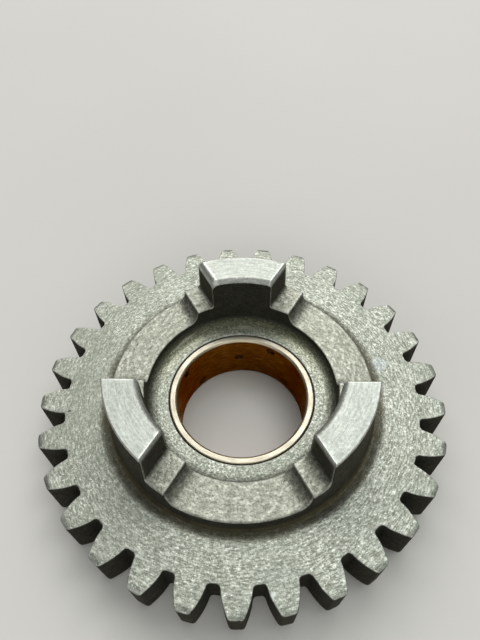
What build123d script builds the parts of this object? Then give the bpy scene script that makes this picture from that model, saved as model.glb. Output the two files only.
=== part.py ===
from build123d import *
import os
from math import acos, asin, atan2, cos, degrees, hypot, pi, radians, sin, sqrt, tan

# Constant-mesh gearbox gear: straight spur teeth, three face dogs on raised
# steps, and a thin bronze bush pressed into the bore.
# Frame: origin on the bore axis in the rear hub face, +Z towards the dogs,
# the first dog centred on +Y. Millimetres.

# ---- teeth
MODULE = 2.0
TEETH = 29
PRESSURE_ANGLE = radians(20.0)
TIP_R = 31.0
ROOT_R = 27.03
PITCH_R = MODULE * TEETH / 2
BASE_R = PITCH_R * cos(PRESSURE_ANGLE)
FLANK_HALF_ANGLE = 0.0765      # half of the tooth's angle at the base circle, rad
ROOT_FILLET = 0.60
TIP_CHAMFER = 0.20             # turned chamfer on the blank, both faces
TIP_CORNER = 0.35              # rounding where flank and tip meet

# ---- wheel, along the axis
HUB_LEN = 9.5                  # rear hub face to front hub face
RIM_REAR = 1.5                 # rear face of the rim
FACE_Z = HUB_LEN               # front face of rim and hub

# ---- dog ring (heights are above the front face)
PAD_H = 2.0
STEP_H = 4.2
DOG_H = 10.2
RING_RO = 20.09                # outer radius at the front face
RING_RO_TOP = 19.53
RING_RI = 14.45                # inner radius at the front face
RING_RI_TOP = 14.53
DOGS = 3
DOG_CENTRE = 90.0              # degrees
STEP_HALF = 30.2               # degrees, radial side faces of the steps
# the three dogs as forged differ a little; each pair is (counterclockwise side, clockwise side)
DOG_SIDE_OFFSET = ((2.80, 3.28), (3.24, 3.24), (3.10, 2.92))   # how far inside the step side faces
DOG_INNER_BEVEL = 0.62
DOG_OUTER_BEVEL = 0.20
DOG_SIDE_BEVEL = ((0.95, 0.38), (0.26, 0.25), (0.28, 0.22))
DOG_FOOT_FILLET = ((0.60, 0.60), (0.60, 0.60), (0.60, 1.20))
PAD_END_FILLET = 1.90
HUB_FILLET = 1.25              # hub face to dog ring

# ---- shallow recess around the dog ring
RECESS_R = 21.85               # where its sloping side reaches the face
RECESS_FLOOR_R = 20.75
RECESS_DEPTH = 0.50

# ---- rear boss
BOSS_R = 16.0
BOSS_FILLET = 0.8
BOSS_CHAMFER = 0.5

# ---- bore and bush
BUSH_RO = 11.15
BUSH_RI = 10.0
BORE_CHAMFER = 0.20             # rear mouth
MOUTH_WIDTH = 0.18             # front mouth, a narrow tapered relief round the bush
MOUTH_DEPTH = 0.60
BUSH_IN_CHAMFER = 0.35
BUSH_OUT_CHAMFER = 0.12
POCKET_R = 0.75                # spherical grease pockets in the bush wall: radius at the wall
POCKET_DEPTH = 0.35
POCKET_ROWS = ((1.45, 62.7), (4.95, 94.1), (8.15, 44.5))   # depth below the front face, first angle
POCKETS_PER_ROW = 4
EDGE_POCKET = (-0.45, 112.1)   # one pocket runs out through the front edge


def pol(r, a):
    """Point at radius r and angle a (radians)."""
    return (r * cos(a), r * sin(a))


def inv(a):
    return tan(a) - a


def flank(r):
    """Half of the tooth's angle at radius r on the involute."""
    return FLANK_HALF_ANGLE - inv(acos(min(1.0, BASE_R / r)))


def tooth_outline():
    """Closed outline of all teeth: involute flanks, root fillets, root arcs."""
    pitch = 2 * pi / TEETH
    rc = ROOT_R + ROOT_FILLET
    n = 400
    radii = [BASE_R + (TIP_R - BASE_R) * i / n for i in range(n + 1)]

    # centre of the root fillet: on radius rc, at distance ROOT_FILLET from the flank
    def gap(phi):
        cx, cy = pol(rc, phi)
        best = None
        for r in radii:
            x, y = pol(r, flank(r))
            d = hypot(x - cx, y - cy)
            if best is None or d < best[0]:
                best = (d, r)
        return best

    lo, hi = FLANK_HALF_ANGLE * 0.6, pitch / 2
    for _ in range(40):
        mid = (lo + hi) / 2
        if gap(mid)[0] < ROOT_FILLET:
            lo = mid
        else:
            hi = mid
    phi = (lo + hi) / 2
    r_touch = gap(phi)[1]
    cx, cy = pol(rc, phi)

    edges = []
    for k in range(TEETH):
        # a tooth space lies at the dog's centre line, as on the real wheel
        c = radians(DOG_CENTRE) + (k + 0.5) * pitch

        def up(r, s):
            return pol(r, c + s * flank(r))

        e = TIP_CORNER
        steps = [r_touch + (TIP_R - e - r_touch) * i / 8 for i in range(9)]
        right = [up(r, -1) for r in steps]
        left = [up(r, +1) for r in reversed(steps)]
        tip = flank(TIP_R)
        in_right, in_left = pol(TIP_R, c - tip + e / TIP_R), pol(TIP_R, c + tip - e / TIP_R)
        edges.append(Spline(*right))
        edges.append(Bezier(right[-1], up(TIP_R, -1), in_right))
        edges.append(ThreePointArc(in_right, pol(TIP_R, c), in_left))
        edges.append(Bezier(in_left, up(TIP_R, +1), left[0]))
        edges.append(Spline(*left))
        # fillet after the left flank
        a0 = atan2(left[-1][1] - rc * sin(c + phi), left[-1][0] - rc * cos(c + phi))
        foot = pol(ROOT_R, c + phi)
        ccx, ccy = pol(rc, c + phi)
        mx = (left[-1][0] + foot[0]) / 2 - ccx
        my = (left[-1][1] + foot[1]) / 2 - ccy
        m = hypot(mx, my)
        mid = (ccx + mx / m * ROOT_FILLET, ccy + my / m * ROOT_FILLET)
        edges.append(ThreePointArc(left[-1], mid, foot))
        # root arc to the next tooth's fillet
        foot2 = pol(ROOT_R, c + pitch - phi)
        edges.append(ThreePointArc(foot, pol(ROOT_R, c + pitch / 2), foot2))
        nx0 = pol(r_touch, c + pitch - flank(r_touch))
        c2x, c2y = pol(rc, c + pitch - phi)
        mx = (nx0[0] + foot2[0]) / 2 - c2x
        my = (nx0[1] + foot2[1]) / 2 - c2y
        m = hypot(mx, my)
        mid = (c2x + mx / m * ROOT_FILLET, c2y + my / m * ROOT_FILLET)
        edges.append(ThreePointArc(foot2, mid, nx0))
    return edges


def ring_profile(points):
    """Revolve a closed half-section given as (radius, z) points."""
    with BuildPart() as p:
        with BuildSketch(Plane.XZ):
            with BuildLine():
                Polyline(*points, close=True)
            make_face()
        revolve(axis=Axis.Z)
    return p.part


# ------------------------------------------------------------ toothed rim
with BuildPart() as rim:
    with BuildSketch(Plane.XY.offset(RIM_REAR)):
        with BuildLine():
            for e in tooth_outline():
                add(e)
        make_face()
    extrude(amount=FACE_Z - RIM_REAR)
t = TIP_CHAMFER
blank = ring_profile([
    (0, RIM_REAR), (TIP_R - t, RIM_REAR), (TIP_R + 0.01, RIM_REAR + t + 0.01),
    (TIP_R + 0.01, FACE_Z - t - 0.01), (TIP_R - t, FACE_Z), (0, FACE_Z)])
wheel = rim.part & blank

# ------------------------------------------------------------ rear boss
with BuildPart() as boss:
    with BuildSketch(Plane.XZ):
        with BuildLine():
            f, b = BOSS_FILLET, BOSS_CHAMFER
            Polyline((0, RIM_REAR + 0.5), (0, 0), (BOSS_R - b, 0), (BOSS_R, b),
                     (BOSS_R, RIM_REAR - f))
            ThreePointArc((BOSS_R, RIM_REAR - f),
                          (BOSS_R + f * (1 - cos(pi / 4)), RIM_REAR - f * (1 - sin(pi / 4))),
                          (BOSS_R + f, RIM_REAR))
            Polyline((BOSS_R + f, RIM_REAR), (BOSS_R + f, RIM_REAR + 0.5), (0, RIM_REAR + 0.5))
        make_face()
    revolve(axis=Axis.Z)
wheel = wheel + boss.part

# ------------------------------------------------------------ recess round the dog ring
with BuildPart() as recess:
    with BuildSketch(Plane.XZ):
        with BuildLine():
            d, z0 = RECESS_DEPTH, FACE_Z
            ri = RING_RO - 1.0
            slope = (RECESS_R - RECESS_FLOOR_R) / d
            Polyline((ri, z0 + 1), (ri, z0 - d), (RECESS_FLOOR_R, z0 - d),
                     (RECESS_R, z0), (RECESS_R + slope, z0 + 1), close=True)
        make_face()
    revolve(axis=Axis.Z)
wheel = wheel - recess.part

# ------------------------------------------------------------ dog ring, full turn
with BuildPart() as ring:
    with BuildSketch(Plane.XZ):
        with BuildLine():
            zf, zt = FACE_Z, FACE_Z + DOG_H
            so = (RING_RO - RING_RO_TOP) / DOG_H      # draft, outer wall
            si = (RING_RI_TOP - RING_RI) / DOG_H      # draft, inner wall
            bi, bo, f = DOG_INNER_BEVEL, DOG_OUTER_BEVEL, HUB_FILLET
            low = zf - RECESS_DEPTH - 0.4
            Polyline(
                (RING_RI - f, low), (RING_RO + so * (zf - low), low),
                (RING_RO_TOP + so * bo, zt - bo), (RING_RO_TOP - bo, zt),
                (RING_RI_TOP + bi, zt), (RING_RI_TOP - si * bi, zt - bi),
                (RING_RI + si * f, zf + f))
            ThreePointArc((RING_RI + si * f, zf + f),
                          (RING_RI - f * (1 - sin(pi / 4)) , zf + f * (1 - cos(pi / 4))),
                          (RING_RI - f, zf))
            Line((RING_RI - f, zf), (RING_RI - f, low))
        make_face()
    revolve(axis=Axis.Z)
ring_solid = ring.part

# windows between the dogs: wide above the steps, narrower down to the pads
for k in range(DOGS):
    g = radians(DOG_CENTRE + 60 + 120 * k)
    far = 26.0

    # the window's clockwise border is dog k's counterclockwise side, its other border
    # the clockwise side of the next dog
    h = radians(60 - STEP_HALF)
    n = (k + 1) % DOGS
    off = (DOG_SIDE_OFFSET[k][0], DOG_SIDE_OFFSET[n][1])
    bev = (DOG_SIDE_BEVEL[k][0], DOG_SIDE_BEVEL[n][1])
    feet = (DOG_FOOT_FILLET[k][0], DOG_FOOT_FILLET[n][1])

    def outline(out_cw, out_ccw, near):
        """Corners of a window whose sides stand these distances outside the step side faces."""
        out = []
        for s, d in ((-1, out_cw), (1, out_ccw)):
            nx, ny = -sin(g + s * h) * s, cos(g + s * h) * s
            pair = [(d * nx + rr * cos(g + s * h), d * ny + rr * sin(g + s * h)) for rr in (near, far)]
            out += pair if s < 0 else pair[::-1]
        return out

    def foot_edges(part, z, s):
        """The straight bottom edges of a window cutter along its side s."""
        found = []
        for e in part.edges().filter_by(GeomType.LINE):
            t = e.tangent_at(0)
            turn = degrees(atan2(t.Y, t.X)) - degrees(g + s * h)
            if abs(e.center().Z - z) < 1e-6 and abs((turn + 90) % 180 - 90) < 1.0:
                found.append(e)
        return found

    # The inner corner of each window lies inside the ring's own well.
    with BuildPart() as wide:
        with BuildSketch(Plane.XY.offset(FACE_Z + STEP_H)):
            with BuildLine():
                Polyline(*outline(*off, 9.9), close=True)
            make_face()
        extrude(amount=DOG_H)
        for s, f in zip((-1, 1), feet):
            fillet(foot_edges(wide, FACE_Z + STEP_H, s), f)
    with BuildPart() as narrow:
        with BuildSketch(Plane.XY.offset(FACE_Z + PAD_H)):
            with BuildLine():
                Polyline(*outline(0.0, 0.0, 12.5), close=True)
            make_face()
        extrude(amount=DOG_H)
        for s in (-1, 1):
            fillet(foot_edges(narrow, FACE_Z + PAD_H, s), PAD_END_FILLET)
    # bevels along the dogs' top side edges, at 45 degrees
    over, low = 1.0, max(bev)
    with BuildPart() as bevel:
        for z, d in ((DOG_H - low, -low), (DOG_H + over, over)):
            with BuildSketch(Plane.XY.offset(FACE_Z + z)):
                with BuildLine():
                    Polyline(*outline(off[0] + bev[0] + d, off[1] + bev[1] + d, 9.9), close=True)
                make_face()
        loft(ruled=True)
    ring_solid = ring_solid - wide.part - narrow.part - bevel.part

wheel = wheel + ring_solid

# ------------------------------------------------------------ bore
c, w, d = BORE_CHAMFER, MOUTH_WIDTH, MOUTH_DEPTH
bore = ring_profile([
    (0, -1), (BUSH_RO + c + 1, -1), (BUSH_RO, c), (BUSH_RO, FACE_Z - d),
    (BUSH_RO + w, FACE_Z), (BUSH_RO + w * (1 + 1 / d), FACE_Z + 1), (0, FACE_Z + 1)])
wheel = wheel - bore
wheel = wheel.solids().sort_by(SortBy.VOLUME)[-1]
wheel.label = "gear_wheel"

# ------------------------------------------------------------ bush
ci, co = BUSH_IN_CHAMFER, BUSH_OUT_CHAMFER
bush = ring_profile([
    (BUSH_RI, ci), (BUSH_RI + ci, 0), (BUSH_RO - co, 0), (BUSH_RO, co),
    (BUSH_RO, FACE_Z - co), (BUSH_RO - co, FACE_Z), (BUSH_RI + ci, FACE_Z), (BUSH_RI, FACE_Z - ci)])
ball = (POCKET_R ** 2 + POCKET_DEPTH ** 2) / (2 * POCKET_DEPTH)
spots = [EDGE_POCKET]
for depth, first in POCKET_ROWS:
    spots += [(depth, first + 360 / POCKETS_PER_ROW * k) for k in range(POCKETS_PER_ROW)]
for depth, a in spots:
    r = BUSH_RI + POCKET_DEPTH - ball
    bush = bush - Sphere(ball).locate(Location((r * cos(radians(a)), r * sin(radians(a)), FACE_Z - depth)))
bush = bush.solids().sort_by(SortBy.VOLUME)[-1]
bush.label = "bronze_bush"

os.makedirs("parts", exist_ok=True)
export_step(wheel, "parts/gear_wheel.step")
export_step(bush, "parts/bronze_bush.step")
print("wheel", round(wheel.volume), wheel.bounding_box())
print("bush", round(bush.volume), bush.bounding_box())
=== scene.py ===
import bpy
import math
import numpy as np
from mathutils import Matrix, Vector


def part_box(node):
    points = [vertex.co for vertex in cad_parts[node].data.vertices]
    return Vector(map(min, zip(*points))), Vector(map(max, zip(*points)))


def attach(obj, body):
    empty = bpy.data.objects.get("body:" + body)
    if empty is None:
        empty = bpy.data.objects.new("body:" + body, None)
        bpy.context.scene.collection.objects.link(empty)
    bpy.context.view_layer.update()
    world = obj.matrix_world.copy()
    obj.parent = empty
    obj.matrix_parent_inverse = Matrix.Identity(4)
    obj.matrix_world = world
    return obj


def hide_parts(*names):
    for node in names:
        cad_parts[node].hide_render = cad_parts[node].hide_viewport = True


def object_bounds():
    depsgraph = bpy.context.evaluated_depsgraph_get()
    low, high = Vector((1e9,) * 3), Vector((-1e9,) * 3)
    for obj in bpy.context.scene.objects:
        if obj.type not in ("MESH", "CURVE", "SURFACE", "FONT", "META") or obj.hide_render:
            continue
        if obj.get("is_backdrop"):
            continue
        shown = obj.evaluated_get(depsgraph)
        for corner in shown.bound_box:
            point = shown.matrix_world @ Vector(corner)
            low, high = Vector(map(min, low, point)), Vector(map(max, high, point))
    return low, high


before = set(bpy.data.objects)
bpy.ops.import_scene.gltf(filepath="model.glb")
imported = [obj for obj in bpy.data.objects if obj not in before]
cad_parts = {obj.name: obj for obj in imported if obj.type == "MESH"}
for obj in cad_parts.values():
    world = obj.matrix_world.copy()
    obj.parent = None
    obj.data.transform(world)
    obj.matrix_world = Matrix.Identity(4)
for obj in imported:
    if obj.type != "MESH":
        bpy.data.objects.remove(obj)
cad_lo, cad_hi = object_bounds()
MM = 0.001

# ---------------------------------------------------------------- the design's sizes, in mm
TEETH = 29
TIP_R, ROOT_R = 31.0, 27.03
PITCH = 2 * math.pi / TEETH
BASE_R = 29.0 * math.cos(math.radians(20))
FLANK_HALF = 0.0765
ROOT_FILLET = 0.60
TIP_CH = 0.20
TIP_CORNER = 0.35
hub_lo, hub_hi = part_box("bronze_bush")
FACE_Z = hub_hi.z / MM                    # front face of hub and rim
RIM_REAR = 1.5 - FACE_Z                   # from here on, z is counted from the front face
HUB_REAR = -FACE_Z
DOG_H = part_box("gear_wheel")[1].z / MM - FACE_Z
PAD_H, STEP_H = 2.0, 4.2
RO0, RO1 = 20.09, 19.53
RI0, RI1 = 14.45, 14.53
STEP_HALF = math.radians(30.2)
# the three dogs differ a little; each pair is (counterclockwise side, clockwise side)
OFFS = ((2.80, 3.28), (3.24, 3.24), (3.10, 2.92))
BEVELS = ((0.95, 0.38), (0.26, 0.25), (0.28, 0.22))
FEET = ((0.60, 0.60), (0.60, 0.60), (0.60, 1.20))
HUB_FILLET = 1.25
REC_R, REC_FLOOR, REC_D = 21.85, 20.75, 0.50
BOSS_R, BOSS_F, BOSS_C = 16.0, 0.8, 0.5
BORE_R, BUSH_RI = 11.15, 10.0
MOUTH_W, MOUTH_D = 0.18, 0.60
JOIN_R = 26.3                             # circle where the toothed ring meets the web


class Net:
    """Vertices with wear and zone values, and faces."""

    def __init__(self):
        self.v, self.a, self.f = [], [], []

    def add(self, x, y, z, wear=0.0, top=0.0, forged=0.0, wall=0.0, flank_shade=0.0):
        self.v.append((x, y, z))
        self.a.append((wear, top, forged, wall, flank_shade))
        return len(self.v) - 1


def edge(b, p, n):
    """(inset, drop) pairs over a rounded edge of size b, from the top face to the wall."""
    out = []
    for i in range(n + 1):
        t = math.pi / 2 * i / n
        out.append((b * (1 - math.sin(t) ** (2 / p)), b * (1 - math.cos(t) ** (2 / p))))
    return out


# ---------------------------------------------------------------- web, dog ring, hub and bore
def side(D):
    return lambda r: STEP_HALF - math.asin(max(-0.999, min(0.999, D / r)))


def fraction(t, D):
    f = side(D)
    return lambda r: t * f(r)


def beyond(t, D):
    f = side(D)
    return lambda r: f(r) + (math.pi / 3 - f(r)) * t


def corner(x, rho):
    """How far a vertical corner of radius rho is drawn in at distance x from the side face."""
    if x >= rho:
        return 0.0
    u = 1 - max(0.0, x) / rho
    return rho * (1 - math.sqrt(max(0.0, 1 - u * u)))


def half_columns(OFF, b, f):
    """Columns from a dog's centre to the middle of a pad: (angle function, height, corner draw-in, its base height,
    wear, how much it is a side wall and takes painted wall shade).
    """
    cols = []
    D0 = OFF + b + 0.15
    n = 10
    for i in range(n):
        cols.append((fraction(i / n, D0), DOG_H, 0.0, STEP_H, 0.0, 0.0))
    cols.append((side(D0), DOG_H, 0.0, STEP_H, 0.25, 0.0))
    for ins, drop in edge(b, 1.7, 8):
        cols.append((side(OFF + ins), DOG_H - drop, corner(ins, 0.09), STEP_H, 1.0, 0.0))
    for H in (8.9, 8.0, 7.0, 6.2, 5.5):
        cols.append((side(OFF), H, 0.09, STEP_H, 0.0, 1.0))
    for i in range(5):
        t = math.pi / 2 * i / 4
        cols.append((side(OFF - f * (1 - math.cos(t))), STEP_H + f * (1 - math.sin(t)),
                     0.09 * (1 - i / 4), STEP_H, 0.0, 1.0 - 0.22 * i))
    for i in range(5):
        D = OFF - f - 0.18 + (0.4 - OFF + f + 0.18) * i / 4
        cols.append((side(D), STEP_H, 0.0, PAD_H, 0.0 if D > 0.5 else 0.25, 0.0))
    for ins, drop in edge(0.20, 1.8, 4):
        cols.append((side(ins), STEP_H - drop, corner(ins, 0.16), PAD_H, 0.7, 0.0))
    cols.append((side(0.0), 3.96, 0.16, PAD_H, 0.1, 0.8))
    f = 1.9
    for i in range(8):
        t = math.pi / 2 * i / 7
        cols.append((side(-f * (1 - math.cos(t))), PAD_H + f * (1 - math.sin(t)),
                     0.16 * (1 - i / 7), PAD_H, 0.0, 0.8 - 0.11 * i))
    n = 12
    for i in range(1, n + 1):
        cols.append((beyond(i / n, -f), PAD_H, 0.0, PAD_H, 0.0, 0.0))
    return cols


OUT_LEVELS = [-0.15, 0.1, 0.4, 0.8, 1.2, 1.5, 1.76, 2.1, 2.5, 3.1, 3.5, 3.96, 4.3, 4.65,
              5.2, 6.0, 7.0, 8.0, 8.9, 9.4, 9.9]
IN_LEVELS = [z for z in OUT_LEVELS if z > 1.3]


def smooth(t):
    t = max(0.0, min(1.0, t))
    return t * t * (3 - 2 * t)


def profile(H, draw, base, cw, steep):
    """Half-section at a column: (r, z, wear, top, forged, wall), from the web over the ring, down the bore and out
    along the rear; wall is how much painted shade a point takes, on the ring's walls and bevels, the recess, the hub
    fillet, the bore and the rear boss.
    """
    P = []

    def put(r, z, wear=0.0, top=0.0, forged=0.0, wall=0.0):
        P.append((r, z, wear, top, forged, wall))

    dog = H > 9.0
    bo = 0.20
    bi = 0.62 if dog else 0.13
    po, pi_ = (1.8, 1.35) if dog else (1.8, 1.8)

    def ro(z):
        return RO0 + (RO1 - RO0) * z / DOG_H - draw * smooth((z - base - 0.1) / 0.5)

    def ri(z):
        return RI0 + (RI1 - RI0) * z / DOG_H + draw * smooth((z - base - 0.1) / 0.5)

    # web face to the recess
    for r in (JOIN_R, 25.4, 24.5, 23.6, 22.9, 22.45):
        put(r, 0)

    def bend(a, b, c, n, w0, w1):
        """Points of a soft bend from a to c round the corner b."""
        for i in range(n + 1):
            t = i / n
            q = [(1 - t) ** 2 * a[k] + 2 * t * (1 - t) * b[k] + t * t * c[k] for k in (0, 1)]
            put(q[0], q[1], 0.0, wall=w0 + (w1 - w0) * t)
    bend((REC_R + 0.40, 0), (REC_R, 0), (REC_R - 0.40, -0.182), 6, 0.0, 0.12)
    bend((REC_FLOOR + 0.35, -REC_D + 0.159), (REC_FLOOR, -REC_D), (REC_FLOOR - 0.20, -REC_D), 4, 0.3, 0.7)
    foot = 0.30
    rw = ro(-REC_D)
    for i in range(5):
        t = math.pi / 2 * i / 4
        put(rw + foot * (1 - math.sin(t)), -REC_D + foot * (1 - math.cos(t)), wall=1.0)
    top_w = H - bo
    for z in OUT_LEVELS:
        zz = min(z, top_w)
        put(ro(zz), zz, 0.0, wall=1.0)
    on = 1.0 if dog else 0.0
    for ins, drop in reversed(edge(bo, po, 5)):
        w = 1.0 if 0.0 < ins < bo else 0.6
        put(ro(H) - ins + (ro(H - drop) - ro(H)) * 0.5, H - drop, max(cw, w if dog else 0.55 * w), on * 0.7, 1 - on, 0.2)
    a, b = ro(H) - bo, ri(H) + bi
    n = 9
    put(a - 0.10, H, max(cw, 0.25), on, 1 - on, steep)
    for i in range(1, n):
        put(a + (b - a) * i / n, H, cw, on, 1 - on, steep)
    put(b + 0.10, H, max(cw, 0.25), on, 1 - on, steep)
    for ins, drop in edge(bi, pi_, 6):
        w = 1.0 if 0.0 < ins < bi else 0.6
        put(ri(H) + ins + (ri(H - drop) - ri(H)) * 0.5, H - drop, max(cw, w * (0.55 if dog else 0.35)), on * 0.4, 1 - on, 0.2)
    low = H - bi
    for z in reversed(IN_LEVELS):
        zz = min(z, low)
        put(ri(zz), zz, 0.0, wall=1.0)
    f = HUB_FILLET
    for i in range(9):
        t = math.pi / 2 * i / 8
        put(ri(f) - f * (1 - math.cos(t)), f * (1 - math.sin(t)), 0.0, wall=1.0 - 0.7 * i / 8)
    r0 = ri(f) - f
    for i in range(1, 5):
        put(r0 + (BORE_R + MOUTH_W + 0.12 - r0) * i / 4, 0, 0.1 if i == 4 else 0.0)
    put(BORE_R + MOUTH_W + 0.05, -0.01, 0.5)
    put(BORE_R + MOUTH_W, -0.05, 0.7, wall=0.6)
    put(BORE_R + MOUTH_W * 0.5, -MOUTH_D * 0.5, wall=1.0)
    put(BORE_R, -MOUTH_D, wall=1.0)
    put(BORE_R, HUB_REAR / 2, wall=1.0)
    put(BORE_R, HUB_REAR + 0.6, wall=1.0)
    put(BORE_R + MOUTH_W, HUB_REAR + 0.05, 0.6)
    put(BORE_R + MOUTH_W + 0.05, HUB_REAR, 0.3)
    n = 6
    for i in range(1, n):
        put(BORE_R + 0.4 + (BOSS_R - BOSS_C - 0.15 - BORE_R - 0.4) * i / n, HUB_REAR)
    put(BOSS_R - BOSS_C - 0.05, HUB_REAR, 0.5)
    put(BOSS_R - BOSS_C + 0.03, HUB_REAR + 0.03, 0.9)
    put(BOSS_R - 0.03, HUB_REAR + BOSS_C - 0.03, 0.9)
    put(BOSS_R, HUB_REAR + BOSS_C + 0.05, 0.5, wall=0.5)
    for i in range(7):
        t = math.pi / 2 * i / 6
        put(BOSS_R + BOSS_F * (1 - math.cos(t)), RIM_REAR - BOSS_F * (1 - math.sin(t)), wall=0.7)
    n = 9
    for i in range(1, n + 1):
        put(BOSS_R + BOSS_F + (JOIN_R - BOSS_R - BOSS_F) * i / n, RIM_REAR)
    return P


net = Net()
columns = []
for k in range(3):
    half_ccw, half_cw = (half_columns(OFFS[k][i], BEVELS[k][i], FEET[k][i]) for i in (0, 1))
    sector = [(c, -1) for c in reversed(half_cw[1:-1])] + [(c, +1) for c in half_ccw]
    centre = math.radians(90 + 120 * k)
    for (fn, H, draw, base, cw, steep), s in sector:
        prof = profile(H, draw, base, cw, steep)
        ids = []
        for r, z, wear, top, forged, wall in prof:
            a = centre + s * fn(r)
            ids.append(net.add(r * math.cos(a), r * math.sin(a), z, wear, top, forged, wall))
        columns.append(ids)
NC = len(columns)
for c in range(NC):
    A, B = columns[c], columns[(c + 1) % NC]
    for i in range(len(A) - 1):
        net.f.append((A[i], B[i], B[i + 1], A[i + 1]))
loop_front = [c[0] for c in columns]
loop_rear = [c[-1] for c in columns]


# ---------------------------------------------------------------- toothed ring
def inv(a):
    return math.tan(a) - a


def psi(r):
    return FLANK_HALF - inv(math.acos(min(1.0, BASE_R / r)))


RC = ROOT_R + ROOT_FILLET
radii = np.linspace(BASE_R, TIP_R, 1600)
psis = np.array([psi(r) for r in radii])
fx, fy = radii * np.cos(psis), radii * np.sin(psis)
lo, hi = FLANK_HALF * 0.6, PITCH / 2
for _ in range(50):
    m = (lo + hi) / 2
    d = np.hypot(fx - RC * math.cos(m), fy - RC * math.sin(m))
    if d.min() < ROOT_FILLET:
        lo = m
    else:
        hi = m
PHI = (lo + hi) / 2
d = np.hypot(fx - RC * math.cos(PHI), fy - RC * math.sin(PHI))
R_TOUCH = float(radii[d.argmin()])

LAST = TIP_R - TIP_CORNER
rows = [R_TOUCH + (30.3 - R_TOUCH) * i / 8 for i in range(9)] + [LAST]
NR = len(rows)
NT = 4                                    # segments of a tip corner
K = 6 + 2 * NT
NF = 6


def tooth_outline():
    """Outline points of one tooth about angle 0 and the space after it: (x, y, kind), counterclockwise."""
    pts = []
    for r in rows:
        pts.append((r * math.cos(-psi(r)), r * math.sin(-psi(r)), "R"))
    tip, e = psi(TIP_R), TIP_CORNER / TIP_R

    def spot(r, a):
        return (r * math.cos(a), r * math.sin(a))

    def round_off(a, b, c):
        """Inner points of the rounded corner b between a and c."""
        out = []
        for i in range(1, NT):
            t = i / NT
            out.append(tuple((1 - t) ** 2 * a[k] + 2 * t * (1 - t) * b[k] + t * t * c[k] for k in (0, 1)))
        return out
    across = []
    across += round_off(spot(LAST, -psi(LAST)), spot(TIP_R, -tip), spot(TIP_R, -tip + e))
    for i in range(7):
        across.append(spot(TIP_R, -tip + e + 2 * (tip - e) * i / 6))
    across += round_off(spot(TIP_R, tip - e), spot(TIP_R, tip), spot(LAST, psi(LAST)))
    pts += [(x, y, "T") for x, y in across]
    assert len(across) == K - 1
    for r in reversed(rows):
        pts.append((r * math.cos(psi(r)), r * math.sin(psi(r)), "L"))
    # fillet, root arc, fillet
    lx, ly = R_TOUCH * math.cos(psi(R_TOUCH)), R_TOUCH * math.sin(psi(R_TOUCH))
    cx, cy = RC * math.cos(PHI), RC * math.sin(PHI)
    a0 = math.atan2(ly - cy, lx - cx)
    a1 = math.atan2(-math.sin(PHI), -math.cos(PHI))
    while a1 - a0 > math.pi:
        a1 -= 2 * math.pi
    while a1 - a0 < -math.pi:
        a1 += 2 * math.pi
    fil = []
    for i in range(1, NF + 1):
        a = a0 + (a1 - a0) * i / NF
        fil.append((cx + ROOT_FILLET * math.cos(a), cy + ROOT_FILLET * math.sin(a)))
    pts += [(x, y, "F") for x, y in fil]
    mid = (ROOT_R * math.cos(PITCH / 2), ROOT_R * math.sin(PITCH / 2), "F")
    pts.append(mid)
    ca, sa = math.cos(PITCH), math.sin(PITCH)
    for x, y in reversed(fil):
        xm, ym = x, -y
        pts.append((xm * ca - ym * sa, xm * sa + ym * ca, "F"))
    return pts


one = tooth_outline()
NP = len(one)
outline, kinds = [], []
for k in range(TEETH):
    c = math.radians(90) + (k + 0.5) * PITCH
    ca, sa = math.cos(c), math.sin(c)
    for x, y, kind in one:
        outline.append((x * ca - y * sa, x * sa + y * ca))
        kinds.append(kind)
outline = np.array(outline)
prev, nxt = np.roll(outline, 1, 0), np.roll(outline, -1, 0)


def unit(v):
    return v / np.linalg.norm(v, axis=1, keepdims=True)


t1, t2 = unit(outline - prev), unit(nxt - outline)
n1 = np.stack([t1[:, 1], -t1[:, 0]], 1)
n2 = np.stack([t2[:, 1], -t2[:, 0]], 1)
miter = (n1 + n2) / (1 + (n1 * n2).sum(1, keepdims=True))      # outward
EDGE = 0.11


def tip_drop(r):
    x = r - (TIP_R - TIP_CH)
    return 0.5 * (x + math.sqrt(x * x + 0.01)) if x > -0.35 else 0.0


rng = np.random.default_rng(7)
# small dents and rubs along the teeth's edges: outline index -> extra draw-in
dents = np.zeros(len(outline))
for _ in range(46):
    i = int(rng.integers(0, len(outline)))
    w = float(rng.uniform(0.6, 2.2))
    depth = float(rng.uniform(0.03, 0.11))
    for j in range(-4, 5):
        dents[(i + j) % len(outline)] += depth * math.exp(-(j / w) ** 2)


def ring_loop(inset, z, sign, wear, flank_shade, dent=0.0):
    ids = []
    for i, (x, y) in enumerate(outline):
        dd = inset + dents[i] * dent
        px, py = x - miter[i, 0] * dd, y - miter[i, 1] * dd
        drop = tip_drop(math.hypot(px, py))
        ids.append(net.add(px, py, z - sign * drop, wear, flank_shade=flank_shade))
    return ids


# the flank values give the tooth flanks their painted shade
loops = {}
for sign, z in ((1, 0.0), (-1, RIM_REAR)):
    L = []
    for j, (ins, drop) in enumerate(edge(EDGE, 1.8, 4)):
        L.append(ring_loop(ins, z - sign * drop, sign, 0.55 if 0 < j < 4 else 0.35, 0.0 if j < 3 else (0.35 if j == 3 else 0.9),
                           dent=1.0 if sign == 1 else 0.5))
    L.append(ring_loop(0.0, z - sign * (EDGE + 0.12), sign, 0.1, 1.0))
    loops[sign] = L
mids = []
for t in (0.12, 0.3, 0.5, 0.7, 0.88):
    ids = []
    top, bot = loops[1][-1], loops[-1][-1]
    for a, b in zip(top, bot):
        (x, y, za), (_, _, zb) = net.v[a], net.v[b]
        ids.append(net.add(x, y, za + (zb - za) * t, 0.0, flank_shade=1.0))
    mids.append(ids)
chain = loops[1] + mids + list(reversed(loops[-1]))
NO = len(outline)
for A, B in zip(chain, chain[1:]):
    for i in range(NO):
        j = (i + 1) % NO
        net.f.append((A[i], B[i], B[j], A[j]))

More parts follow.
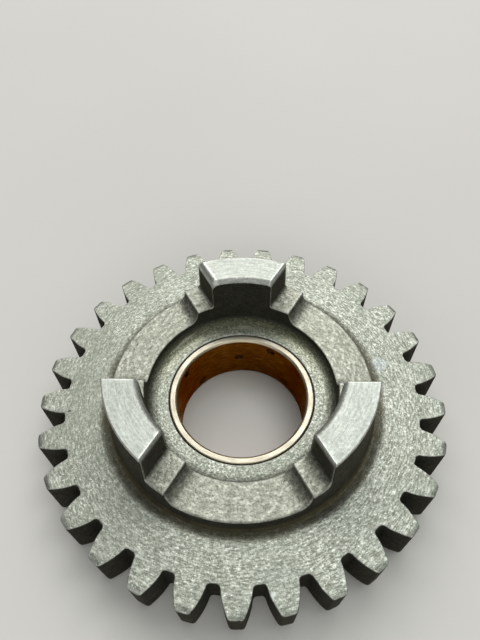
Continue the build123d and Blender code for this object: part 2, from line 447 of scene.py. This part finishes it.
ring_join = {}
for sign, z in ((1, 0.0), (-1, RIM_REAR)):
    inner = loops[sign][0]
    join = []
    for k in range(TEETH):
        o = k * NP
        R = [inner[o + i] for i in range(NR)]
        T = [inner[o + NR - 1 + i] for i in range(K + 1)]
        Lf = [inner[o + NR - 1 + K + i] for i in range(NR)]      # from the tip down
        Lf = list(reversed(Lf))
        grid = []
        for j in range(NR):
            if j == NR - 1:
                grid.append(T)
                continue
            a, b = net.v[R[j]], net.v[Lf[j]]
            ra, rb = math.hypot(a[0], a[1]), math.hypot(b[0], b[1])
            row = [R[j]]
            for i in range(1, K):
                t = i / K
                x, y = a[0] + (b[0] - a[0]) * t, a[1] + (b[1] - a[1]) * t
                rr = ra + (rb - ra) * t
                s = rr / math.hypot(x, y)
                x, y = x * s, y * s
                row.append(net.add(x, y, z - sign * tip_drop(rr), 0.12 if j > NR - 5 else 0.0))
            row.append(Lf[j])
            grid.append(row)
        for A, B in zip(grid, grid[1:]):
            for i in range(K):
                net.f.append((A[i], A[i + 1], B[i + 1], B[i]) if sign == -1 else (A[i + 1], A[i], B[i], B[i + 1]))
        join += grid[0]
        join += [inner[o + 2 * NR + K - 1 + i] for i in range(2 * NF + 1)]
    # drop every point of the loop onto the joining circle
    circle = []
    for i in join:
        x, y, _ = net.v[i]
        s = JOIN_R / math.hypot(x, y)
        circle.append(net.add(x * s, y * s, z))
    n = len(join)
    for i in range(n):
        j = (i + 1) % n
        net.f.append((circle[i], join[i], join[j], circle[j]) if sign == 1 else (circle[j], join[j], join[i], circle[i]))
    ring_join[sign] = circle


def zip_loops(A, B, flip):
    """Joins two loops of points on one circle with triangles, by angle."""
    def ang(ids):
        return [math.atan2(net.v[i][1], net.v[i][0]) % (2 * math.pi) for i in ids]

    def order(ids):
        a = ang(ids)
        s = a.index(min(a))
        ids = ids[s:] + ids[:s]
        a = a[s:] + a[:s]
        return ids + ids[:1], a + [a[0] + 2 * math.pi]
    (A, aa), (B, ab) = order(A), order(B)
    i = j = 0
    while i < len(A) - 1 or j < len(B) - 1:
        if j == len(B) - 1 or (i < len(A) - 1 and aa[i + 1] <= ab[j + 1]):
            f = (A[i], A[i + 1], B[j])
            i += 1
        else:
            f = (A[i], B[j + 1], B[j])
            j += 1
        net.f.append(tuple(reversed(f)) if flip else f)


# the web's own loops stand a little inside the joining circle, so the strip has width
for ids in (loop_front, loop_rear):
    for i in ids:
        x, y, z = net.v[i]
        s = (JOIN_R - 0.35) / math.hypot(x, y)
        net.v[i] = (x * s, y * s, z)
zip_loops(ring_join[1], loop_front, False)
zip_loops(ring_join[-1], loop_rear, True)


def build(name, net, merge=2e-6):
    V = np.array(net.v, float)
    V[:, 2] += FACE_Z
    for i in range(3):                        # a few microns: the CAD's own facets cut its round tips
        V[:, i] = np.clip(V[:, i], cad_lo[i] / MM, cad_hi[i] / MM)
    me = bpy.data.meshes.new(name)
    me.from_pydata((V * MM).tolist(), [], [tuple(f) for f in net.f])
    A = np.array(net.a, np.float32)
    for i, key in enumerate(("wear", "dogtop", "forged", "wall", "flank_shade")):
        at = me.attributes.new(key, "FLOAT", "POINT")
        at.data.foreach_set("value", np.ascontiguousarray(A[:, i]))
    import bmesh
    bm = bmesh.new()
    bm.from_mesh(me)
    bmesh.ops.remove_doubles(bm, verts=bm.verts, dist=merge)
    bmesh.ops.dissolve_degenerate(bm, dist=merge, edges=bm.edges)
    bmesh.ops.recalc_face_normals(bm, faces=bm.faces)
    loose = [v for v in bm.verts if not v.link_faces]
    bmesh.ops.delete(bm, geom=loose, context="VERTS")
    print("MESH", name, len(bm.verts), len(bm.faces), "open edges", sum(1 for e in bm.edges if len(e.link_faces) != 2))
    bm.to_mesh(me)
    bm.free()
    me.polygons.foreach_set("use_smooth", [True] * len(me.polygons))
    ob = bpy.data.objects.new(name, me)
    bpy.context.scene.collection.objects.link(ob)
    return ob


wheel = build("dog_gear_wheel", net)

# ---------------------------------------------------------------- bush
POCKET_R, POCKET_D = 0.75, 0.35
BALL = (POCKET_R ** 2 + POCKET_D ** 2) / (2 * POCKET_D)
spots = [(0.45, math.radians(112.1))]
for depth, first in ((1.45, 62.7), (4.95, 94.1), (8.15, 44.5)):
    spots += [(-depth, math.radians(first + 90 * k)) for k in range(4)]

bn = Net()
NB = 540
prof = []
ci, co = 0.35, 0.12
prof.append((BORE_R, HUB_REAR / 2, 0))
prof.append((BORE_R, -co - 0.05, 0))
prof.append((BORE_R - 0.02, -co + 0.01, 0.5))
prof.append((BORE_R - co + 0.01, -0.02, 1))
prof.append((BORE_R - co - 0.05, 0, 0.6))
for i in range(1, 5):
    prof.append((BORE_R - co - 0.05 + (BUSH_RI + ci + 0.08 - BORE_R + co + 0.05) * i / 4, 0, 0.0))
for ins, drop in edge(ci, 1.35, 6):
    prof.append((BUSH_RI + ins, -drop, 1.0 if 0.02 < ins < ci - 0.02 else 0.6))
n = 64
z0, z1 = -ci - 0.04, HUB_REAR + ci + 0.04
for i in range(n + 1):
    prof.append((BUSH_RI, z0 + (z1 - z0) * i / n, 0.0))
for ins, drop in reversed(edge(ci, 1.35, 6)):
    prof.append((BUSH_RI + ins, HUB_REAR + drop, 1.0 if 0.02 < ins < ci - 0.02 else 0.6))
for i in range(1, 4):
    prof.append((BUSH_RI + ci + (BORE_R - co - BUSH_RI - ci) * i / 4, HUB_REAR, 0.0))
prof.append((BORE_R - co, HUB_REAR, 0.5))
prof.append((BORE_R, HUB_REAR + co, 0.5))
cols = []
for c in range(NB):
    a = 2 * math.pi * c / NB
    ids = []
    for r, z, w in prof:
        rr = r
        pocket = 0.0
        if r < BUSH_RI + ci + 0.1:
            for zs, sa in spots:
                dz = z - zs
                if abs(dz) > 1.1:
                    continue
                da = (a - sa + math.pi) % (2 * math.pi) - math.pi
                if abs(da) > 0.12:
                    continue
                # where the ray at this angle and height leaves the pocket's ball
                rc = BUSH_RI + POCKET_D - BALL
                bq = rc * math.cos(da)
                disc = BALL ** 2 - dz ** 2 - (rc * math.sin(da)) ** 2
                if disc > 0:
                    out = bq + math.sqrt(disc)
                    if out > rr:
                        pocket = min(1.0, (out - rr) / 0.12)
                        rr = out
        ids.append(bn.add(rr * math.cos(a), rr * math.sin(a), z, w * (1 - pocket), 0.0, pocket,
                          1.0 if r <= BUSH_RI + 0.01 else 0.0))
    cols.append(ids)
for c in range(NB):
    A, B = cols[c], cols[(c + 1) % NB]
    n = len(A)
    for i in range(n):
        j = (i + 1) % n
        bn.f.append((A[i], B[i], B[j], A[j]))
bush = build("bush_sleeve", bn)

for ob in (wheel, bush):
    m = ob.modifiers.new("face_weighted", "WEIGHTED_NORMAL")
    m.mode = "FACE_AREA_WITH_ANGLE"
    m.weight = 60
    m.keep_sharp = False


# ---------------------------------------------------------------- materials
class Mat:
    """Small helper for shader node trees."""

    def __init__(self, name):
        self.m = bpy.data.materials.new(name)
        self.m.use_nodes = True
        self.t = self.m.node_tree
        self.t.nodes.clear()
        self.out = self.n("ShaderNodeOutputMaterial")
        self.b = self.n("ShaderNodeBsdfPrincipled")
        self.l(self.b.outputs["BSDF"], self.out.inputs["Surface"])
        self.pos = self.n("ShaderNodeNewGeometry").outputs["Position"]

    def n(self, kind, **kw):
        node = self.t.nodes.new(kind)
        for k, v in kw.items():
            setattr(node, k, v)
        return node

    def l(self, a, b):
        self.t.links.new(a, b)

    def put(self, sock, v):
        if hasattr(v, "is_output"):
            self.l(v, sock)
        else:
            sock.default_value = v

    def math(self, op, a, b=0.0, c=None, clamp=False):
        n = self.n("ShaderNodeMath", operation=op, use_clamp=clamp)
        self.put(n.inputs[0], a)
        self.put(n.inputs[1], b)
        if c is not None:
            self.put(n.inputs[2], c)
        return n.outputs[0]

    def noise(self, vec, scale, detail=2.0, rough=0.5, dist=0.0, dim="3D"):
        n = self.n("ShaderNodeTexNoise", noise_dimensions=dim)
        if vec is not None:
            self.l(vec, n.inputs["Vector"])
        n.inputs["Scale"].default_value = scale
        n.inputs["Detail"].default_value = detail
        n.inputs["Roughness"].default_value = rough
        n.inputs["Distortion"].default_value = dist
        return n.outputs["Fac"]

    def ramp(self, v, stops, interp="LINEAR"):
        n = self.n("ShaderNodeValToRGB")
        n.color_ramp.interpolation = interp
        els = n.color_ramp.elements
        while len(els) > 1:
            els.remove(els[-1])
        for i, (p, col) in enumerate(stops):
            e = els[0] if i == 0 else els.new(p)
            e.position = p
            e.color = (*col, 1) if len(col) == 3 else col
        self.l(v, n.inputs[0])
        return n.outputs["Color"]

    def range(self, v, a, b, c=0.0, d=1.0):
        n = self.n("ShaderNodeMapRange")
        n.clamp = True
        self.put(n.inputs[0], v)
        n.inputs[1].default_value = a
        n.inputs[2].default_value = b
        n.inputs[3].default_value = c
        n.inputs[4].default_value = d
        return n.outputs[0]

    def mix(self, fac, a, b, mode="MIX"):
        n = self.n("ShaderNodeMix", data_type="RGBA", blend_type=mode)
        self.put(n.inputs["Factor"], fac)
        self.put(n.inputs[6], a if hasattr(a, "is_output") else (*a, 1))
        self.put(n.inputs[7], b if hasattr(b, "is_output") else (*b, 1))
        return n.outputs[2]

    def attr(self, name):
        return self.n("ShaderNodeAttribute", attribute_name=name).outputs["Fac"]

    def polar(self):
        """(radius, angle, z) about the bore axis, in metres and turns."""
        s = self.n("ShaderNodeSeparateXYZ")
        self.l(self.pos, s.inputs[0])
        x, y, z = s.outputs
        r = self.math("SQRT", self.math("ADD", self.math("MULTIPLY", x, x), self.math("MULTIPLY", y, y)))
        a = self.math("ARCTAN2", y, x)
        return r, a, z

    def spot(self, x, y, z, size, ragged=0.0):
        """1 within size of the point (mm), fading out at 1.6 times that; ragged by a noise value."""
        n = self.n("ShaderNodeVectorMath", operation="DISTANCE")
        self.l(self.pos, n.inputs[0])
        n.inputs[1].default_value = (x * MM, y * MM, FACE_Z * MM + z * MM)
        return self.range(self.math("ADD", n.outputs["Value"], ragged), size * 1.6 * MM, size * MM)

    def combine(self, x, y, z):
        n = self.n("ShaderNodeCombineXYZ")
        for i, v in enumerate((x, y, z)):
            self.put(n.inputs[i], v)
        return n.outputs[0]

    def bump(self, height, distance, strength=1.0, normal=None):
        n = self.n("ShaderNodeBump")
        n.inputs["Strength"].default_value = strength
        n.inputs["Distance"].default_value = distance
        self.l(height, n.inputs["Height"])
        if normal is not None:
            self.l(normal, n.inputs["Normal"])
        return n.outputs["Normal"]


def steel():
    M = Mat("gear_steel")
    wear, dogtop, forged, wall, flank_shade = (M.attr(k) for k in ("wear", "dogtop", "forged", "wall", "flank_shade"))
    r, a, z = M.polar()
    # cylinder coordinates with the angle as an arc length, so that marks run round the axis
    ring = M.combine(M.math("MULTIPLY", r, 1.0), M.math("MULTIPLY", a, 0.0016), M.math("MULTIPLY", z, 0.6))
    short = M.combine(M.math("MULTIPLY", r, 1.0), M.math("MULTIPLY", a, 0.0075), M.math("MULTIPLY", z, 1.0))
    grain = M.noise(M.pos, 4700, 1.5, 0.6)
    grain2 = M.noise(M.pos, 2500, 3.0, 0.6)
    spark = M.noise(M.pos, 3300, 0.0, 0.5)
    dash = M.noise(short, 3000, 2.0, 0.6)
    blot = M.noise(M.pos, 620, 4.0, 0.65)
    cloud = M.noise(M.pos, 110, 3.0, 0.55)
    lines = M.noise(ring, 5200, 3.0, 0.65)
    lines2 = M.noise(ring, 1500, 2.0, 0.6)

    drawn = M.noise(short, 4300, 2.0, 0.6)
    drawn2 = M.noise(short, 2000, 3.0, 0.6)

    # turned and tumbled face: fine grey grain, short marks along the turning direction
    mixed = M.math("ADD", M.math("MULTIPLY", grain, 0.42), M.math("MULTIPLY", drawn, 0.58))
    base = M.ramp(mixed, [(0.37, (0.115, 0.123, 0.102)), (0.465, (0.245, 0.259, 0.222)),
                          (0.54, (0.390, 0.407, 0.360)), (0.64, (0.69, 0.71, 0.65))])
    base = M.mix(M.range(grain2, 0.38, 0.60, 0.0, 0.50), base, (0.190, 0.202, 0.168))
    base = M.mix(M.range(dash, 0.52, 0.70, 0.0, 0.55), base, (0.53, 0.55, 0.50))
    base = M.mix(M.range(dash, 0.44, 0.32, 0.0, 0.45), base, (0.150, 0.158, 0.130))
    base = M.mix(M.range(cloud, 0.40, 0.68, 0.0, 0.30), base, (0.270, 0.292, 0.250))
    # pads and steps: as forged and blasted, warmer and coarser
    mixed2 = M.math("ADD", M.math("MULTIPLY", grain2, 0.5), M.math("MULTIPLY", drawn2, 0.5))
    fg = M.ramp(mixed2, [(0.37, (0.085, 0.084, 0.062)), (0.465, (0.205, 0.206, 0.170)),
                         (0.54, (0.37, 0.375, 0.318)), (0.63, (0.70, 0.71, 0.63))])
    fg = M.mix(M.range(grain, 0.40, 0.62, 0.0, 0.42), fg, (0.42, 0.43, 0.37))
    fg = M.mix(M.range(blot, 0.50, 0.70, 0.0, 0.35), fg, (0.190, 0.190, 0.150))
    base = M.mix(M.math("MULTIPLY", forged, 0.85), base, fg)
    # dog tops: turned after forging, paler, with fine tangential lines
    dt = M.ramp(lines, [(0.28, (0.262, 0.275, 0.252)), (0.50, (0.338, 0.354, 0.328)), (0.74, (0.43, 0.447, 0.42))])
    dt = M.mix(M.range(blot, 0.46, 0.70, 0.0, 0.35), dt, (0.275, 0.285, 0.255))
    base = M.mix(dogtop, base, dt)
    # walls, recess, fillets and bore mouth: painted shade, a near-black colour laid on by the wall value
    painted_wall_shade = M.mix(M.range(blot, 0.3, 0.7), (0.026, 0.025, 0.017), (0.060, 0.058, 0.043))
    base = M.mix(M.math("MULTIPLY", wall, 0.92), base, painted_wall_shade)
    # tooth flanks: painted shade, a near-black colour
    painted_flank_shade = M.mix(M.range(lines2, 0.3, 0.7), (0.016, 0.014, 0.010), (0.038, 0.035, 0.026))
    base = M.mix(M.math("MULTIPLY", flank_shade, 0.92), base, painted_flank_shade)
    # floor of the well: painted shade, tinted brown-green, heavier towards the ring wall and on the far (north) side,
    # and a few turned arcs
    well = M.math("MULTIPLY", M.range(r, 0.01142, 0.01150), M.range(r, 0.01460, 0.01445), clamp=True)
    well = M.math("MULTIPLY", well, M.range(z, 0.0106, 0.0099), clamp=True)
    north = M.math("SINE", a)
    well_painted_shade = M.math("MULTIPLY", well, M.range(r, 0.0118, 0.0134, 0.35, 1.0))
    well_painted_shade = M.math("MULTIPLY", well_painted_shade, M.range(north, -0.2, 0.75, 0.08, 1.0))
    base = M.mix(M.math("MULTIPLY", well_painted_shade, 0.75), base, (0.80, 0.78, 0.56), "MULTIPLY")
    # the turned arcs are real marks, brightened with a painted sheen that is stronger on the far side
    turned_arcs_and_sheen = M.range(lines2, 0.60, 0.70)
    turned_arcs_and_sheen = M.math("MULTIPLY", turned_arcs_and_sheen, M.range(north, 0.2, 0.8, 0.15, 0.5))
    base = M.mix(M.math("MULTIPLY", turned_arcs_and_sheen, well), base, (0.50, 0.49, 0.40))
    # painted shade in the foot of the recess, broken up by noise
    foot = M.math("MULTIPLY", M.range(r, 0.0224, 0.0209), M.range(r, 0.0196, 0.0200), clamp=True)
    low = M.math("MULTIPLY", foot, M.range(z, 0.00952, 0.00945), clamp=True)
    base = M.mix(M.math("MULTIPLY", low, M.range(blot, 0.35, 0.6, 0.35, 0.8)), base, (0.115, 0.100, 0.058))
    # painted shadow over the west side of the rim face
    west_painted_shade = M.math("MULTIPLY", M.range(M.math("COSINE", a), -0.35, -0.95), M.range(r, 0.0212, 0.0222), clamp=True)
    west_painted_shade = M.math("MULTIPLY", west_painted_shade, M.math("SUBTRACT", 1.0, flank_shade), clamp=True)
    base = M.mix(M.math("MULTIPLY", west_painted_shade, M.range(cloud, 0.3, 0.6, 0.10, 0.42)), base, (0.215, 0.228, 0.188))
    # a bright nick on one tooth, a bluish rub on the rim face, a dark dent mark on a pad
    jag = M.math("MULTIPLY", M.math("SUBTRACT", blot, 0.5), 0.0016)
    base = M.mix(M.math("MULTIPLY", M.spot(4.30, -28.26, 0.0, 0.42, jag), 0.8), base, (0.60, 0.63, 0.59))
    base = M.mix(M.math("MULTIPLY", M.spot(21.9, 5.9, 0.0, 0.9, jag), 0.40), base, (0.40, 0.43, 0.47))
    mark = M.math("SUBTRACT", M.spot(16.42, 8.78, 2.0, 0.62, jag), M.spot(16.42, 8.78, 2.0, 0.22, jag), clamp=True)
    base = M.mix(M.math("MULTIPLY", mark, 0.5), base, (0.16, 0.16, 0.125))
    # painted glints: bright specks of painted highlight on the grain
    painted_glint = M.math("MULTIPLY", M.range(spark, 0.785, 0.84), M.math("SUBTRACT", 1.0, M.math("MAXIMUM", M.math("MAXIMUM", wall, flank_shade), dogtop)), clamp=True)
    base = M.mix(M.math("MULTIPLY", painted_glint, 0.5), base, (0.90, 0.91, 0.86))
    # rubbed edges
    brk = M.range(M.noise(M.pos, 900, 3.0, 0.6), 0.28, 0.62, 0.25, 1.0)
    rub = M.math("MULTIPLY", M.math("POWER", wear, 1.4), brk, clamp=True)
    rub = M.math("MULTIPLY", rub, M.math("ADD", M.math("MULTIPLY", dogtop, 0.35), 0.55), clamp=True)
    base = M.mix(rub, base, (0.60, 0.61, 0.58))
    M.l(base, M.b.inputs["Base Color"])
    M.b.inputs["Metallic"].default_value = 1.0
    M.b.inputs["Specular Tint"].default_value = (0.80, 0.79, 0.72, 1)
    rough = M.math("ADD", M.range(grain2, 0.3, 0.7, 0.50, 0.64), M.range(cloud, 0.3, 0.7, -0.03, 0.04))
    rough = M.math("SUBTRACT", rough, M.math("MULTIPLY", dogtop, 0.06))
    rough = M.math("SUBTRACT", rough, M.math("MULTIPLY", rub, 0.06))
    rough = M.math("ADD", rough, M.math("MULTIPLY", M.math("MAXIMUM", wall, flank_shade), 0.26), clamp=True)
    M.l(rough, M.b.inputs["Roughness"])
    h1 = M.math("ADD", M.math("MULTIPLY", grain, 0.6), M.math("MULTIPLY", grain2, 0.6))
    h1 = M.math("ADD", h1, M.math("MULTIPLY", M.math("MULTIPLY", grain2, forged), 1.3))
    plain = M.math("SUBTRACT", 1.0, M.math("MULTIPLY", dogtop, 0.75))
    n = M.bump(M.math("MULTIPLY", h1, plain), 0.000055, 0.9)
    n = M.bump(lines, 0.000018, 0.7, n)
    n = M.bump(cloud, 0.00012, 0.25, n)
    M.l(n, M.b.inputs["Normal"])
    return M.m


def bronze():
    M = Mat("bush_bronze")
    wear, inner, pocket = M.attr("wear"), M.attr("wall"), M.attr("forged")
    r, a, z = M.polar()
    ring = M.combine(M.math("MULTIPLY", r, 1.0), M.math("MULTIPLY", a, 0.0012), z)
    lines = M.noise(ring, 4200, 3.0, 0.6)
    patch = M.noise(M.pos, 420, 3.0, 0.6)
    base = M.ramp(lines, [(0.30, (0.120, 0.040, 0.008)), (0.52, (0.215, 0.082, 0.017)), (0.72, (0.37, 0.175, 0.048))])
    top = M.mix(M.range(lines, 0.35, 0.65), (0.325, 0.297, 0.232), (0.435, 0.414, 0.352))
    base = M.mix(inner, top, base)
    base = M.mix(M.math("MULTIPLY", M.range(patch, 0.45, 0.72, 0.0, 0.65), inner), base, (0.105, 0.032, 0.006))
    # the lubrication pockets get painted shade, a near-black colour
    base = M.mix(M.math("MULTIPLY", pocket, 0.8), base, (0.035, 0.018, 0.007))
    base = M.mix(M.math("MULTIPLY", wear, 0.55), base, (0.55, 0.46, 0.31))
    M.l(base, M.b.inputs["Base Color"])
    M.b.inputs["Metallic"].default_value = 1.0
    M.b.inputs["Specular Tint"].default_value = (0.62, 0.36, 0.16, 1)
    M.l(M.math("ADD", M.range(patch, 0.3, 0.7, 0.24, 0.38), M.math("MULTIPLY", M.math("SUBTRACT", 1.0, inner), 0.12)), M.b.inputs["Roughness"])
    n = M.bump(lines, 0.000012, 0.6)
    n = M.bump(patch, 0.00004, 0.3, n)
    M.l(n, M.b.inputs["Normal"])
    return M.m


wheel.data.materials.append(steel())
bush.data.materials.append(bronze())
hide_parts("gear_wheel")
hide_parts("bronze_bush")
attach(wheel, "root")
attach(bush, "root")

# ---------------------------------------------------------------- floor, light, camera
fm = Mat("floor_pale")
fm.l(fm.mix(fm.range(fm.noise(fm.pos, 6, 3.0, 0.5), 0.3, 0.7), (0.50, 0.49, 0.47), (0.54, 0.53, 0.51)), fm.b.inputs["Base Color"])
fm.b.inputs["Roughness"].default_value = 0.8
fm.b.inputs["Specular IOR Level"].default_value = 0.2
me = bpy.data.meshes.new("floor")
S = 3.0
me.from_pydata([(-S, -S, 0), (S, -S, 0), (S, S, 0), (-S, S, 0)], [], [(0, 1, 2, 3)])
floor = bpy.data.objects.new("floor", me)
bpy.context.scene.collection.objects.link(floor)
me.materials.append(fm.m)
floor.location.z = -0.00001
floor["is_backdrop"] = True


def area(name, az, el, dist, size, power, colour=(1, 1, 1), size_y=None):
    """A soft area light at azimuth az (0 is +Y, 90 is +X) and elevation el, aimed at the gear."""
    li = bpy.data.lights.new(name, "AREA")
    li.shape = "RECTANGLE"
    li.size = size
    li.size_y = size_y or size
    li.energy = power
    li.color = colour
    ob = bpy.data.objects.new(name, li)
    a, e = math.radians(az), math.radians(el)
    p = Vector((math.sin(a) * math.cos(e), math.cos(a) * math.cos(e), math.sin(e))) * dist
    ob.location = p
    ob.rotation_euler = (-p).to_track_quat("-Z", "Y").to_euler()
    bpy.context.scene.collection.objects.link(ob)
    return ob


area("window", -6, 50, 0.80, 0.80, 5.0, (1.0, 0.99, 0.965), 0.55)
area("ceiling", 62, 74, 0.85, 0.70, 4.0, (0.965, 1.0, 0.965))
area("room", 184, 31, 0.80, 1.70, 4.2, (1.0, 1.0, 0.98), 0.42)
world = bpy.data.worlds.new("studio")
bpy.context.scene.world = world
world.use_nodes = True
world.node_tree.nodes["Background"].inputs[0].default_value = (0.80, 0.84, 0.82, 1)
world.node_tree.nodes["Background"].inputs[1].default_value = 0.12

# Camera: 53.7 degrees above the horizon, 2.5 degrees off the first dog's centre line.
R0 = TIP_R * MM
el, roll, turn = math.radians(53.71449682), math.radians(-1.28750098), math.radians(2.46101393)
back = Vector((0, -math.cos(el), math.sin(el)))
x = Vector((1, 0, 0))
y = back.cross(x)
c, s = math.cos(roll), math.sin(roll)
X, Y = c * x + s * y, -s * x + c * y
pos = Vector((0.0002468, 0.46398140, 0)) + back * 3.02515788
pos = pos * R0 + Vector((0, 0, FACE_Z * MM))
rot = Matrix((X, Y, back)).transposed().to_4x4()
cam = bpy.data.cameras.new("camera")
cam.sensor_width = 36.0
cam.sensor_fit = "AUTO"
cam.lens = 550.80124733 / 640 * 36
cam.clip_start = 0.005
cam.clip_end = 20
co = bpy.data.objects.new("camera", cam)
co.matrix_world = Matrix.Rotation(turn, 4, "Z") @ (Matrix.Translation(pos) @ rot)
bpy.context.scene.collection.objects.link(co)
bpy.context.scene.camera = co
bpy.context.scene.view_settings.view_transform = "Standard"

lo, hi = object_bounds()
